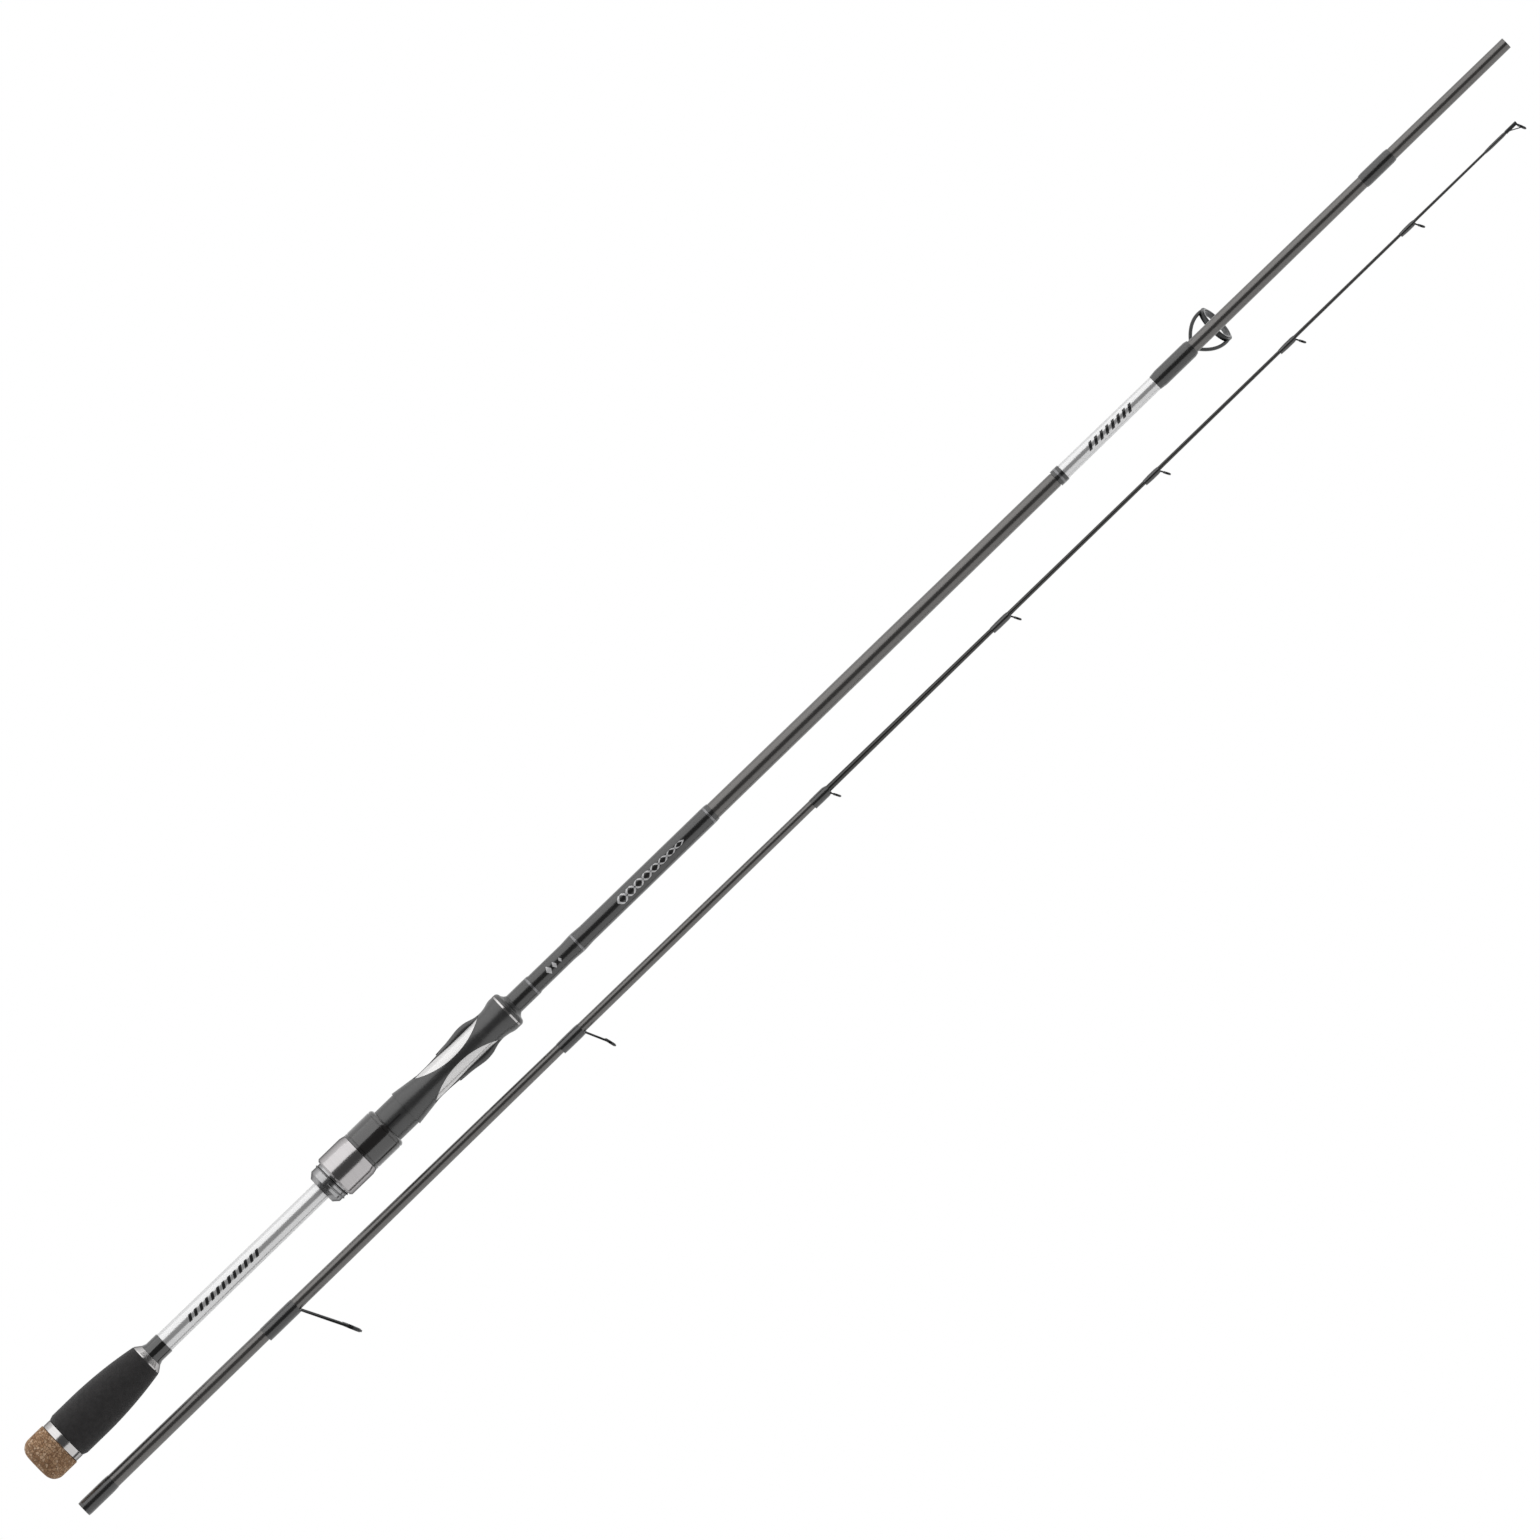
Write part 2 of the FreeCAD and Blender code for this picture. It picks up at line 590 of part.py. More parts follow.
def make_handle_wraps():
    bulged = "wrap_bulge_radius"
    plain = "wrap_radius"
    sleeve("handle_wrap_1", "nose_front", "band_1",
           [("nose_front", bulged), ("band_1", bulged)])
    sleeve("handle_wrap_2", "band_1 + band_width", "band_2",
           [("band_1 + band_width", bulged), ("band_1 + band_width + 1.5", plain),
            ("band_2 - wrap_bulge_length", plain), ("band_2", bulged)])
    sleeve("handle_wrap_3", "band_2 + band_width", "band_3",
           [("band_2 + band_width", bulged), ("band_2 + band_width + wrap_bulge_length", plain),
            ("band_3", plain)])
    sleeve("handle_wrap_4", "band_3 + band_width", "wrap_front",
           [("band_3 + band_width", plain), ("wrap_front", f"{plain} - wrap_end_radius")])
    for number, radius in ((1, bulged), (2, bulged), (3, plain)):
        rear = f"band_{number}"
        front = f"band_{number} + band_width"
        sleeve(f"trim_band_{number}", rear, front, [(rear, radius), (front, radius)])


def make_forward_sleeves():
    sleeve("forward_trim_wrap", "butt_station_5", "trim_wrap_front",
           [("butt_station_5", "trim_wrap_radius"), ("trim_wrap_front", "trim_wrap_radius")])
    sleeve("forward_sleeve", "trim_wrap_front", "mid_sleeve_front",
           [("trim_wrap_front", "mid_sleeve_rear_radius"),
            ("mid_sleeve_front", "mid_sleeve_front_radius")])
    sleeve("butt_joint_wrap", "joint_wrap_rear", "joint_wrap_front",
           [("joint_wrap_rear", "joint_wrap_radius - wrap_end_radius"),
            ("joint_wrap_rear + wrap_end_length", "joint_wrap_radius"),
            ("joint_wrap_front - wrap_end_length", "joint_wrap_radius"),
            ("joint_wrap_front", "joint_wrap_radius - wrap_end_radius")])


# ---- tip section ----

def make_tip_blanks():
    split = ("socket_tube_front", along("tube", len(TIP_OUTSIDE), "socket_tube_front"))
    outside = [(f"tube_station_{n}", f"tube_radius_{n}") for n in range(len(TIP_OUTSIDE))]
    socket = new_body("socket_tube")
    turn(socket, outside[:2] + [split, ("socket_tube_front", "tip_bore_rear"),
                                ("socket_depth", "socket_front_radius"), ("0", "socket_rear_radius")])
    tube = new_body("tip_blank")
    turn(tube, [split] + outside[2:] + [("splice_front", "splice_radius + glue_gap"),
                                        ("splice_rear", "splice_radius + glue_gap"),
                                        ("socket_tube_front", "tip_bore_rear")])
    solid = new_body("solid_tip")
    outside = [(f"solid_station_{n}", f"solid_radius_{n}") for n in range(len(SOLID_OUTSIDE))]
    turn(solid, [("splice_rear", "0"), ("splice_rear", "splice_radius"),
                 ("splice_front", "splice_radius")] + outside + [("tip_end", "0")])
    for piece in (socket, tube, solid):
        lay_beside(piece)


def make_socket_wrap():
    """The wrap and lacquer lip that strengthen the socket. The tip section can turn inside them."""
    gap = "socket_wrap_gap"
    front = along("tube", len(TIP_OUTSIDE), "socket_wrap_front") + f" + {gap}"
    end = "socket_wrap_corner"
    lip = new_body("socket_lip")
    turn(lip, [("0", f"tube_radius_0 + {gap}"), ("0", f"tube_radius_0 + {gap} + wrap_edge"),
               (end, "socket_wrap_radius"), (end, along("tube", len(TIP_OUTSIDE), end) + f" + {gap}")])
    wrap = new_body("socket_wrap")
    turn(wrap, [(end, along("tube", len(TIP_OUTSIDE), end) + f" + {gap}"), (end, "socket_wrap_radius"),
                ("socket_wrap_shoulder", "socket_wrap_radius"),
                ("socket_wrap_front", f"{front} + wrap_edge"), ("socket_wrap_front", front)])
    lay_beside(lip)
    lay_beside(wrap)


# ---- line guides ----

def foot_depth_of(name):
    """Depth of the face that the foot rests on, just clear of the blank at its thick end."""
    bore = butt_bore if name == "stripper" else tip_bore
    return "(" + bore(f"{name}_wrap_rear + foot_inset") + ")"


def make_wrap_blank(name, bare=False):
    """Thread and lacquer over the guide's foot, fuller on the foot's side."""
    bore = butt_bore if name == "stripper" else tip_bore
    rear, front = f"{name}_wrap_rear", f"{name}_wrap_front"
    radius, shift = f"{name}_wrap_radius", f"{name}_wrap_shift"
    body = new_body(f"{name}_wrap") if bare else helper_body(f"{name}_wrap_whole")
    end = "wrap_end_length"
    turn(body, [(rear, "0"), (rear, f"{bore(rear)} + wrap_edge + {shift}"),
                (f"{rear} + 2 * {end}", radius), (f"{front} - {end}", radius),
                (front, f"{bore(front)} + wrap_edge + {shift}"), (front, "0")], shift=f"-{shift}")
    step = []
    if value(rear) < value("splice_front") < value(front):
        shoulder = "splice_front + glue_gap"
        step = [(shoulder, bore("splice_front")), (shoulder, bore(shoulder))]
    turn(body, [(f"{rear} - 1", "0"), (f"{rear} - 1", bore(rear)), (rear, bore(rear))] + step
         + [(front, bore(front)), (f"{front} + 1", bore(front)), (f"{front} + 1", "0")], kind="Groove")
    return body


def cut_wrap(name, whole, frame):
    """The wrap with the space of the foot inside it."""
    wrap = doc.addObject("Part::Cut", f"{name}_wrap")
    wrap.Label = f"{name}_wrap"
    wrap.Base = whole
    wrap.Tool = frame
    nodes.append(wrap)


def make_ring(name):
    """Hard ring with a straight land and rounded mouths."""
    body = new_body(f"{name}_ring")
    outer = f"{name}_frame_radius - {name}_frame_wall"
    inner = f"({outer} - {name}_ring_wall)"
    flare = f"(({name}_ring_length - {name}_ring_land) / 2)"
    half = f"{name}_ring_length / 2"
    land = f"{name}_ring_land / 2"
    turn(body, [(f"-{land}", inner), (f"{land}", inner, f"{flare}"), (half, f"{inner} + {flare}"),
                (half, outer), (f"-{half}", outer), (f"-{half}", f"{inner} + {flare}", f"{flare}")])
    return body


def set_at_ring(name, piece):
    """Moves a piece that is modelled about the X axis to the ring's centre, tilted like it."""
    piece.Placement = Placement(Vector(value(f"{name}_ring_x"), 0, -value(f"{name}_ring_height")),
                                Rotation(Vector(0, 1, 0), -value(f"{name}_tilt")))


def part_object(kind, label, **sizes):
    piece = doc.addObject("Part::" + kind, label)
    bind(piece, **sizes)
    return piece


def make_eye(name, margin="1"):
    """The round rim of the frame and the hole in it, longer by the margin on each side."""
    rim = part_object("Cylinder", f"{name}_rim", Radius=f"{name}_frame_radius",
                      Height=f"{name}_frame_depth")
    hole = part_object("Cylinder", f"{name}_hole", Height=f"{name}_frame_depth + 2 * {margin}",
                       Radius=f"{name}_frame_radius - {name}_frame_wall + glue_gap")
    tilt = value(f"{name}_tilt")
    spin = Rotation(Vector(0, 1, 0), 90 - tilt)
    centre = Vector(value(f"{name}_ring_x"), 0, -value(f"{name}_ring_height"))
    forward = spin.multVec(Vector(0, 0, 1))
    rim.Placement = Placement(centre - forward * (value(f"{name}_frame_depth") / 2), spin)
    hole.Placement = Placement(centre - forward * value(f"{name}_frame_depth / 2 + {margin}"), spin)
    return rim, hole


def make_blank_space(name):
    """The space of the blank under the foot, so that the foot fits it."""
    space = part_object("Cylinder", f"{name}_blank_space", Radius=foot_depth_of(name),
                        Height=f"{name}_wrap_front - {name}_wrap_rear + 10")
    space.Placement = Placement(Vector(value(f"{name}_wrap_rear - 1"), 0, 0),
                                Rotation(Vector(0, 1, 0), 90))
    return space


def make_foot(name, front):
    depth = foot_depth_of(name)
    rear = f"{name}_wrap_rear + foot_inset"
    return part_object("Box", f"{name}_foot", Width=f"{name}_foot_width", Height=f"{name}_foot_thickness",
                       Length=f"{front} - ({rear})", Placement__Base__x=rear,
                       Placement__Base__y=f"-{name}_foot_width / 2",
                       Placement__Base__z=f"-{depth} - {name}_foot_thickness")


def make_legs(name, start_x, start_depth):
    """Two round legs that bow outwards from the foot to the sides of the eye."""
    tilt = math.radians(value(f"{name}_tilt"))
    meeting = math.radians(value("leg_meeting_angle"))
    radius = value(f"{name}_frame_radius") - value(f"{name}_frame_wall") / 2
    rise = radius * math.sin(meeting)
    legs = []
    for side in (-1, 1):
        start = Vector(start_x, side * value("leg_start_half"), -start_depth)
        end = Vector(value(f"{name}_ring_x") - rise * math.sin(tilt), side * radius * math.cos(meeting),
                     -value(f"{name}_ring_height") + rise * math.cos(tilt))
        middle = (start + end) * 0.5 + Vector(0, side * value(f"{name}_leg_bow"), 0)
        path = Part.Arc(start, middle, end).toShape()
        heading = path.tangentAt(path.FirstParameter)
        circle = Part.Circle(start, heading, value(f"{name}_leg_diameter") / 2).toShape()
        pipe = Part.Wire(path).makePipeShell([Part.Wire(circle)], True, False)
        leg = doc.addObject("Part::Feature", f"{name}_leg_{'left' if side > 0 else 'right'}")
        leg.Shape = pipe
        legs.append(leg)
    return legs


def join_frame(name, pieces, holes):
    """One frame from its pieces, with every hole cut through all of them."""
    solid = doc.addObject("Part::MultiFuse", f"{name}_frame_pieces")
    solid.Shapes = pieces
    cutters = doc.addObject("Part::MultiFuse", f"{name}_frame_holes")
    cutters.Shapes = holes
    frame = doc.addObject("Part::Cut", f"{name}_frame")
    frame.Label = f"{name}_frame"
    frame.Base = solid
    frame.Tool = cutters
    nodes.append(frame)
    return frame


def make_tall_frame(name):
    """Frame of a high guide: foot, two bowed legs and the eye."""
    depth = value(f"{foot_depth_of(name)} + {name}_foot_thickness / 2")
    front = f"({name}_wrap_front + tall_foot_reach)"
    legs = make_legs(name, value(f"{front} - leg_foot_overlap"), depth)
    rim, hole = make_eye(name)
    return join_frame(name, [make_foot(name, front), rim] + legs, [hole, make_blank_space(name)])


def make_low_frame(name):
    """Frame of a low guide: its eye stands on the foot by a short neck."""
    depth = foot_depth_of(name)
    fall = f"({name}_ring_height - {depth} - {name}_foot_thickness / 2)"
    front = f"({name}_ring_x - {fall} * tan({name}_tilt * 1 deg) + low_foot_reach)"
    neck = part_object("Box", f"{name}_neck", Width=f"{name}_foot_width", Length=f"{name}_frame_depth",
                       Height=f"{fall} / cos({name}_tilt * 1 deg) - {name}_frame_radius + neck_overlap")
    tilt = Rotation(Vector(0, 1, 0), -value(f"{name}_tilt"))
    corner = Vector(-value(f"{name}_frame_depth") / 2, -value(f"{name}_foot_width") / 2,
                    value(f"{name}_frame_radius - neck_overlap"))
    centre = Vector(value(f"{name}_ring_x"), 0, -value(f"{name}_ring_height"))
    neck.Placement = Placement(centre + tilt.multVec(corner), tilt)
    rim, hole = make_eye(name)
    return join_frame(name, [make_foot(name, front), rim, neck], [hole, make_blank_space(name)])


def make_tip_top_frame():
    """A tube that caps the tip, an eye on its front end and two braces."""
    name = "tip_top"
    length = "tip_tube_front - tip_top_wrap_front"
    tube = part_object("Cylinder", "tip_top_tube", Radius="tip_tube_radius", Height=length)
    bore = part_object("Cylinder", "tip_top_socket", Radius=tip_bore("tip_top_wrap_front"),
                       Height="tip_end - tip_top_wrap_front + 1")
    along_rod = Rotation(Vector(0, 1, 0), 90)
    tube.Placement = Placement(Vector(value("tip_top_wrap_front"), 0, 0), along_rod)
    bore.Placement = Placement(Vector(value("tip_top_wrap_front + glue_gap - 1"), 0, 0), along_rod)
    rim, hole = make_eye(name, "tip_top_hole_margin")
    tilt = math.radians(value("tip_top_tilt"))
    radius = value("tip_top_frame_radius") - value("tip_top_leg_diameter") / 4
    meeting = math.radians(value("brace_meeting_angle"))
    rise = radius * math.sin(meeting)
    braces = []
    for side in (-1, 1):
        start = Vector(value("tip_brace_x"), side * value("tip_brace_half"), -value("tip_brace_drop"))
        end = Vector(value("tip_top_ring_x") - rise * math.sin(tilt),
                     side * radius * math.cos(meeting),
                     -value("tip_top_ring_height") + rise * math.cos(tilt))
        brace = part_object("Cylinder", f"tip_top_brace_{'left' if side > 0 else 'right'}",
                            Radius="tip_top_leg_diameter / 2")
        brace.Height = (end - start).Length
        brace.Placement = Placement(start, Rotation(Vector(0, 0, 1), end - start))
        braces.append(brace)
    return join_frame(name, [tube, rim] + braces, [hole, bore])


def make_guides():
    for name in GUIDES:
        pieces = []
        if name == "tip_top":
            pieces = [make_wrap_blank(name, bare=True), make_tip_top_frame()]
        else:
            tall = name in ("stripper", "guide_1", "guide_2")
            frame = make_tall_frame(name) if tall else make_low_frame(name)
            whole = make_wrap_blank(name)
            cut_wrap(name, whole, frame)
            pieces = [whole, frame]
        ring = make_ring(name)
        set_at_ring(name, ring)
        if name != "stripper":
            for piece in pieces:
                lay_beside(piece)
            beside = Placement(Vector(value("tip_start"), -value("section_gap"), 0),
                               Rotation(Vector(1, 0, 0), -90))
            ring.Placement = beside.multiply(ring.Placement)


# ---- checks and files ----

def faults():
    found = [f"{o.Label}: {o.State}" for o in doc.Objects if {"Invalid", "Error"} & set(o.State)]
    for node in nodes:
        shape = node.Shape
        if shape.isNull() or not shape.isValid() or not shape.Solids:
            found.append(f"{node.Label}: null, invalid or empty")
    return found


def write_files():
    os.makedirs("parts", exist_ok=True)
    for node in nodes:
        node.Shape.exportStep(f"parts/{node.Label}.step")


fill_sheet()
make_butt_blank()
make_grip()
make_threaded_sleeve()
make_seat_body()
make_seat_inside()
make_nose()
make_moving_hood()
make_lock_nut()
make_handle_wraps()
make_forward_sleeves()
make_tip_blanks()
make_socket_wrap()
make_guides()
doc.recompute()
problems = faults()
for problem in problems:
    print("FAULT", problem)
if problems:
    raise SystemExit(1)
write_files()
for node in nodes:
    box = node.Shape.BoundBox
    print(f"{node.Label:22s} {node.Shape.Volume:10.2f} mm3, x {box.XMin:8.2f} {box.XMax:8.2f}, "
          f"y {box.YMin:7.2f} {box.YMax:7.2f}, z {box.ZMin:7.2f} {box.ZMax:7.2f}")
print(len(nodes), "nodes")
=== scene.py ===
import json
import math

import bmesh
import bpy
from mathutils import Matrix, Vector


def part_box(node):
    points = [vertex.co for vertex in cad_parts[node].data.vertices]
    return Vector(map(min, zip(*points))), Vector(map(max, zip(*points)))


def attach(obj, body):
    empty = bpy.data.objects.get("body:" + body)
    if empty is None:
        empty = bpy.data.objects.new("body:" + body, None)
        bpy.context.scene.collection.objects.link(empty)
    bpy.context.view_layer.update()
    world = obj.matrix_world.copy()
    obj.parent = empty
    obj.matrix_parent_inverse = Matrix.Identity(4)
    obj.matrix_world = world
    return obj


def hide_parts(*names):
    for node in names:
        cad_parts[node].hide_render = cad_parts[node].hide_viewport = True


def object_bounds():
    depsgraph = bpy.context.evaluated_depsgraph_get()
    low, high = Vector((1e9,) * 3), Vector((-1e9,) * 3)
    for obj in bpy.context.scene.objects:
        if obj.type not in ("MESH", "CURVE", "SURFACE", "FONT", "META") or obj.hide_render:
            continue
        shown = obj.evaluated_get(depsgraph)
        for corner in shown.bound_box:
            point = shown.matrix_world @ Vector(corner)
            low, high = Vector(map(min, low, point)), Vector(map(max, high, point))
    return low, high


# A spinning rod in two sections, seen from straight above. Both sections run along +X.
# Lengths are in metres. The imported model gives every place, and MM turns the small sizes
# below into metres.

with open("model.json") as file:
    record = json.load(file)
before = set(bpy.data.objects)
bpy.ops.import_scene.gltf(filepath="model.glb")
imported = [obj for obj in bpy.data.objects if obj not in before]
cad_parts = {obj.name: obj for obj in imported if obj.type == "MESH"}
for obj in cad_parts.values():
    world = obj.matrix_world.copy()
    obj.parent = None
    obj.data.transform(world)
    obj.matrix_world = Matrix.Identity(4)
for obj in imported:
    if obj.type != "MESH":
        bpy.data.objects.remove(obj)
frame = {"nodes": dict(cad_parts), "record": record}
cad_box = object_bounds()
NODES = frame["nodes"]
MM = 0.001

# Camera: straight above, with the rod at this angle to the picture's width.
SECTION_HEADING = math.radians(44.08)
VIEW_WIDTH = 0.7823
VIEW_CENTRE = Vector((0.5137, -0.0051, 0.0))
LENS = 600.0
SENSOR = 36.0

# Studio: a dim room, a pale floor and a leaning panel on each side of the rod. A panel's
# foot and head are the distance beside the rod and the height of its edges.
ROOM_LIGHT = 0.07
PANEL_FOOT = (1.70, -0.04)
PANEL_HEAD = (0.45, 0.85)
PANEL_WIDTH = 3.2
FLOOR_HALF = 6.0
FLOOR_GAP = 0.4 * MM
FLOOR_GLOW = 0.30

# Turned pieces. CAP_FLOOR is the depth of the butt cap's closed end, and an end whose wall
# is thinner than THINNEST_WALL is a full disc. FACE_GAP is left in front of the socket's lip.
SEGMENTS = 96
EDGE_ROUNDING = 0.12 * MM
EDGE_ANGLE = math.radians(24)
CAP_FLOOR = 5.98 * MM
THINNEST_WALL = 0.05 * MM
FACE_GAP = 0.02 * MM
SAME_POINT = 1e-7

# Rails beside the seat's windows, from RAIL_REACH behind the stretch where the seat is widest.
SEAT_WIDEST = (0.305, 0.3135)
RAIL_REACH = 18 * MM
RAIL_HEIGHT = 1.5 * MM
RAIL_FULL_WIDTH = 1.6 * MM
RAIL_SUNK = 0.1 * MM
RAIL_ROWS = 8

# Prints and thread lines. The barrel's line stands on the radius at BARREL_REAR.
BARREL_REAR = 0.2290
PRINT_FILM = 0.02 * MM
THREAD_DEPTH = 0.1 * MM


# ---- materials ----

class Look:
    """A material built from nodes, with its textures in the part's own coordinates."""

    def __init__(self, name, color, rough, metal=0.0, coat=0.0, coat_rough=0.05, specular=0.5):
        self.material = bpy.data.materials.new(name)
        self.material.use_nodes = True
        self.tree = self.material.node_tree
        self.shader = self.tree.nodes["Principled BSDF"]
        self.color = color
        self.rough = rough
        for socket, number in (("Base Color", (*color, 1.0)), ("Roughness", rough), ("Metallic", metal),
                               ("Coat Weight", coat), ("Coat Roughness", coat_rough),
                               ("Specular IOR Level", specular)):
            self.shader.inputs[socket].default_value = number
        self.place = self.add("ShaderNodeTexCoord").outputs["Object"]
        self.normal = None

    def add(self, kind, **settings):
        node = self.tree.nodes.new(kind)
        for name, setting in settings.items():
            setattr(node, name, setting)
        return node

    def join(self, source, target):
        self.tree.links.new(source, target)

    def stretched(self, x, y, z):
        """The part's coordinates, scaled along each axis."""
        node = self.add("ShaderNodeMapping")
        node.inputs["Scale"].default_value = (x, y, z)
        self.join(self.place, node.inputs["Vector"])
        return node.outputs[0]

    def noise(self, scale, detail, vector=None, roughness=0.5):
        node = self.add("ShaderNodeTexNoise")
        node.inputs["Scale"].default_value = scale
        node.inputs["Detail"].default_value = detail
        node.inputs["Roughness"].default_value = roughness
        self.join(vector or self.place, node.inputs["Vector"])
        return node.outputs["Fac"]

    def cells(self, scale, feature="F1", output="Distance"):
        node = self.add("ShaderNodeTexVoronoi", feature=feature)
        node.inputs["Scale"].default_value = scale
        self.join(self.place, node.inputs["Vector"])
        return node.outputs[output]

    def bands(self, period, wobble):
        """Even rings about the rod, one for each period."""
        node = self.add("ShaderNodeTexWave", bands_direction="X")
        node.inputs["Scale"].default_value = math.pi / (10.0 * period)
        node.inputs["Distortion"].default_value = wobble
        node.inputs["Detail Scale"].default_value = 2.0
        self.join(self.place, node.inputs["Vector"])
        return node.outputs["Fac"]

    def ramp(self, factor, *stops):
        """A colour for each factor, from (place, colour or grey) stops."""
        node = self.add("ShaderNodeValToRGB")
        stripe = node.color_ramp
        while len(stripe.elements) < len(stops):
            stripe.elements.new(0.5)
        for element, (place, color) in zip(stripe.elements, stops):
            element.position = place
            element.color = (*color, 1.0) if isinstance(color, tuple) else (color, color, color, 1.0)
        self.join(factor, node.inputs["Fac"])
        return node.outputs["Color"]

    def mix(self, factor, first, second):
        """The first colour to the second by the factor. The first is a plain colour."""
        node = self.add("ShaderNodeMix", data_type="RGBA")
        self.join(factor, node.inputs[0])
        node.inputs[6].default_value = (*first, 1.0)
        self.join(second, node.inputs[7])
        return node.outputs[2]

    def vary_color(self, factor, low, high):
        """Base colour from low to high times its own colour, by the factor."""
        ends = [tuple(min(1.0, part * amount) for part in self.color) for amount in (low, high)]
        self.join(self.ramp(factor, (0.25, ends[0]), (0.75, ends[1])), self.shader.inputs["Base Color"])

    def vary_rough(self, factor, spread):
        """Roughness from below to above its own value, by the factor."""
        node = self.add("ShaderNodeMapRange")
        node.inputs["To Min"].default_value = max(0.02, self.rough - spread)
        node.inputs["To Max"].default_value = min(1.0, self.rough + spread)
        self.join(factor, node.inputs["Value"])
        self.join(node.outputs[0], self.shader.inputs["Roughness"])

    def bump(self, height, depth_mm):
        node = self.add("ShaderNodeBump")
        node.inputs["Distance"].default_value = depth_mm * MM
        self.join(height, node.inputs["Height"])
        if self.normal:
            self.join(self.normal, node.inputs["Normal"])
        self.normal = node.outputs[0]
        self.join(self.normal, self.shader.inputs["Normal"])

    def soft_edges(self, radius_mm):
        """Shades the edges as if they were rounded."""
        node = self.add("ShaderNodeBevel", samples=6)
        node.inputs["Radius"].default_value = radius_mm * MM
        self.normal = node.outputs[0]
        self.join(self.normal, self.shader.inputs["Normal"])
        self.join(self.normal, self.shader.inputs["Coat Normal"])


def make_looks():
    looks = {}
    # Painted shade: a dark Specular Tint for the ring, thread and nut metals, which darkens their
    # reflections towards the silhouette as if they saw shade beside the rod.
    painted_edge_shade = (0.25, 0.25, 0.25, 1.0)

    def look(slot, *args, **settings):
        looks[slot] = Look(slot, *args, **settings)
        return looks[slot]

    for slot, color in (("blank", (0.166, 0.160, 0.155)), ("blank_dark", (0.060, 0.059, 0.057))):
        one = look(slot, color, 0.30, metal=0.85, coat=0.6, coat_rough=0.12)
        one.vary_color(one.noise(9000.0, 2.0, one.stretched(0.35, 1.0, 1.0)), 0.80, 1.25)
        one.vary_rough(one.noise(60.0, 4.0), 0.05)
        one.bump(one.bands(2.4 * MM, 0.6), 0.010)
        one.bump(one.noise(7000.0, 2.0, one.stretched(0.2, 1.0, 1.0)), 0.006)

    cork = look("cork", (0.40, 0.25, 0.14), 0.82, specular=0.25)
    grain = cork.cells(620.0, output="Color")
    body = cork.ramp(grain, (0.0, (0.27, 0.145, 0.075)), (0.35, (0.46, 0.27, 0.15)),
                     (0.65, (0.60, 0.39, 0.24)), (1.0, (0.78, 0.57, 0.40)))
    seams = cork.ramp(cork.cells(620.0, "DISTANCE_TO_EDGE"), (0.0, 0.0), (0.10, 1.0))
    crumbs = cork.ramp(cork.noise(1500.0, 4.0), (0.34, 0.0), (0.44, 1.0))
    shade = cork.mix(seams, (0.22, 0.12, 0.060), body)
    cork.join(cork.mix(crumbs, (0.17, 0.090, 0.045), shade), cork.shader.inputs["Base Color"])
    cork.bump(seams, 0.16)
    cork.bump(cork.noise(2400.0, 5.0, roughness=0.65), 0.22)

    foam = look("foam", (0.029, 0.0275, 0.028), 0.78, specular=0.35)
    foam.shader.inputs["Sheen Weight"].default_value = 0.25
    foam.shader.inputs["Sheen Roughness"].default_value = 0.45
    foam.vary_color(foam.noise(420.0, 5.0), 0.75, 1.35)
    foam.bump(foam.cells(1900.0), 0.10)
    foam.bump(foam.noise(4200.0, 3.0), 0.05)

    metal = look("ring_metal", (0.68, 0.665, 0.66), 0.17, metal=1.0)
    metal.shader.inputs["Specular Tint"].default_value = painted_edge_shade
    metal.vary_color(metal.noise(1.0, 3.0, metal.stretched(5000.0, 40.0, 40.0)), 0.94, 1.05)
    metal.vary_rough(metal.noise(1.0, 3.0, metal.stretched(7000.0, 60.0, 60.0)), 0.07)
    metal.bump(metal.noise(1.0, 2.0, metal.stretched(9000.0, 30.0, 30.0)), 0.006)

    trumpet = look("trumpet", (0.007, 0.007, 0.007), 0.16, coat=1.0, specular=1.0)
    trumpet.vary_color(trumpet.noise(500.0, 3.0), 0.8, 1.3)
    trumpet.vary_rough(trumpet.noise(300.0, 4.0), 0.05)

    pearl = look("white_sleeve", (0.88, 0.88, 0.885), 0.24, metal=0.60, coat=0.7, coat_rough=0.04)
    pearl.vary_color(pearl.noise(2200.0, 2.0), 0.97, 1.02)

    thread = look("thread_metal", (0.46, 0.46, 0.465), 0.20, metal=1.0)
    thread.shader.inputs["Specular Tint"].default_value = painted_edge_shade
    thread.soft_edges(0.12)
    thread.vary_color(thread.noise(700.0, 3.0), 0.88, 1.10)
    thread.vary_rough(thread.noise(900.0, 4.0), 0.08)

    nut = look("nut_metal", (0.58, 0.56, 0.565), 0.18, metal=1.0)
    nut.shader.inputs["Specular Tint"].default_value = painted_edge_shade
    nut.soft_edges(0.25)
    nut.vary_color(nut.noise(1.0, 3.0, nut.stretched(4200.0, 30.0, 30.0)), 0.94, 1.05)
    nut.vary_rough(nut.noise(1.0, 3.0, nut.stretched(5200.0, 40.0, 40.0)), 0.08)
    nut.bump(nut.noise(1.0, 2.0, nut.stretched(8000.0, 24.0, 24.0)), 0.006)

    seat = look("seat", (0.026, 0.026, 0.0265), 0.34, coat=0.45, coat_rough=0.24, specular=1.0)
    seat.soft_edges(0.08)
    seat.vary_color(seat.noise(900.0, 4.0), 0.85, 1.18)
    seat.vary_rough(seat.noise(240.0, 4.0), 0.05)
    seat.bump(seat.noise(5200.0, 3.0), 0.004)

    core = look("core", (0.90, 0.89, 0.885), 0.24, metal=0.55, coat=0.7)
    core.vary_color(core.noise(1800.0, 2.0), 0.97, 1.02)

